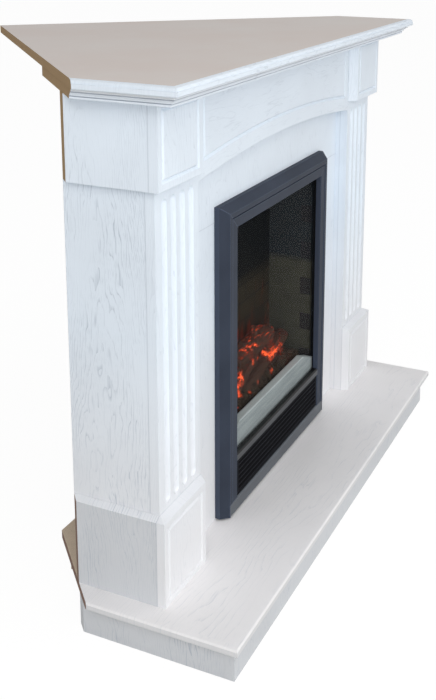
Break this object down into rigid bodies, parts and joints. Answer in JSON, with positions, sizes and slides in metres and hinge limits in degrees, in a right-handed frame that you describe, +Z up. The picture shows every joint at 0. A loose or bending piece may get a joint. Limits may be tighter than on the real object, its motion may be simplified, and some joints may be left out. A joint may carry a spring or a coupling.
{
  "type": "corner fireplace",
  "caption": "Electric fire in a white wood-grain corner surround with fluted pilasters, an arched frieze, a wedge-shaped mantel and a raised hearth.",
  "frame": {"origin": "on the floor, under the middle of the whole object's bounding box", "axes": "+Z up; the front faces -Y; +X to the right of a person who faces the fire; the room's corner is at +Y"},
  "size_m": [1.224, 0.879, 1],
  "materials": {
    "white_film": "satin white film with an embossed wood grain over fibreboard",
    "raw_board": "raw fibreboard, matt",
    "zinc_steel": "bright zinc-plated",
    "graphite_paint": "satin graphite powder coat",
    "black_paint": "satin black",
    "case_steel": "matt black sheet steel",
    "fire_glass": "clear toughened glass",
    "brick_panel": "moulded brick-pattern panel, dark olive-grey",
    "screen_acrylic": "smoked flame-effect screen",
    "ember_resin": "translucent glass-fibre embers, painted black on the ridges",
    "log_ceramic": "painted bark, matt",
    "kerb_stone": "light grey textured coating",
    "bright_foil": "mirror-bright vanes",
    "lamp_glass": "clear candle lamps in holders",
    "black_plastic": "gloss black",
    "black_nylon": "matt black nylon"
  },
  "bodies": {
    "root": {"mantel_shelf": "white_film", "cornice_board": "white_film", "frieze_board": "white_film", "left_pilaster_front": "white_film", "right_pilaster_front": "white_film", "left_pilaster_side": "white_film", "right_pilaster_side": "white_film", "left_block_front": "white_film", "right_block_front": "white_film", "left_block_cheek": "white_film", "right_block_cheek": "white_film", "left_plinth_front": "white_film", "right_plinth_front": "white_film", "left_plinth_cheek": "white_film", "right_plinth_cheek": "white_film", "header_panel": "white_film", "left_stile_panel": "white_film", "right_stile_panel": "white_film", "fixing_battens": "raw_board", "back_rail": "raw_board", "hearth_slab": "white_film", "hearth_front_skirt": "white_film", "left_hearth_skirt": "white_film", "right_hearth_skirt": "white_film", "hearth_ribs": "raw_board", "angle_brackets": "zinc_steel", "bracket_screws": "zinc_steel", "trim_top": "graphite_paint", "trim_left": "graphite_paint", "trim_right": "graphite_paint", "trim_bottom_bar": "graphite_paint", "glass_pane": "fire_glass", "middle_rail": "graphite_paint", "grille_pins": "zinc_steel", "case_back": "case_steel", "case_left": "case_steel", "case_right": "case_steel", "case_top": "case_steel", "case_floor": "case_steel", "fire_deck": "case_steel", "left_brick_liner": "brick_panel", "right_brick_liner": "brick_panel", "flame_screen": "screen_acrylic", "ember_bed": "ember_resin", "log_set": "log_ceramic", "front_kerb": "kerb_stone", "rotor_motor": "zinc_steel", "lamps": "lamp_glass", "blower_housing": "zinc_steel", "blower_motor": "black_paint", "heating_element": "zinc_steel", "control_panel": "black_paint", "cable_gland": "black_nylon"},
    "grille": {"louvre_grille": "black_paint"},
    "rotor": {"flame_rotor": "bright_foil"},
    "fan_wheel": {"blower_wheel": "black_paint"},
    "flame_rocker": {"flame_switch": "black_plastic"},
    "half_heat_rocker": {"half_heat_switch": "black_plastic"},
    "full_heat_rocker": {"full_heat_switch": "black_plastic"},
    "thermostat": {"thermostat_knob": "black_plastic"}
  },
  "joints": [
    {"name": "grille_hinge", "type": "hinge", "parent": "root", "child": "grille", "pos_m": [0, -0.2603, 0.114], "axis": [1, 0, 0], "range_deg": [0, 95]},
    {"name": "rotor_spin", "type": "hinge", "parent": "root", "child": "rotor", "pos_m": [0, -0.1045, 0.254], "axis": [1, 0, 0], "continuous": true},
    {"name": "fan_spin", "type": "hinge", "parent": "root", "child": "fan_wheel", "pos_m": [0, -0.1345, 0.119], "axis": [1, 0, 0], "continuous": true},
    {"name": "flame_rock", "type": "hinge", "parent": "root", "child": "flame_rocker", "pos_m": [0.112, -0.2225, 0.147], "axis": [1, 0, 0], "range_deg": [-16, 0]},
    {"name": "half_heat_rock", "type": "hinge", "parent": "root", "child": "half_heat_rocker", "pos_m": [0.134, -0.2225, 0.147], "axis": [1, 0, 0], "range_deg": [-16, 0]},
    {"name": "full_heat_rock", "type": "hinge", "parent": "root", "child": "full_heat_rocker", "pos_m": [0.156, -0.2225, 0.147], "axis": [1, 0, 0], "range_deg": [-16, 0]},
    {"name": "thermostat_turn", "type": "hinge", "parent": "root", "child": "thermostat", "pos_m": [0.184, -0.2265, 0.147], "axis": [0, 1, 0], "range_deg": [-135, 135]}
  ]
}
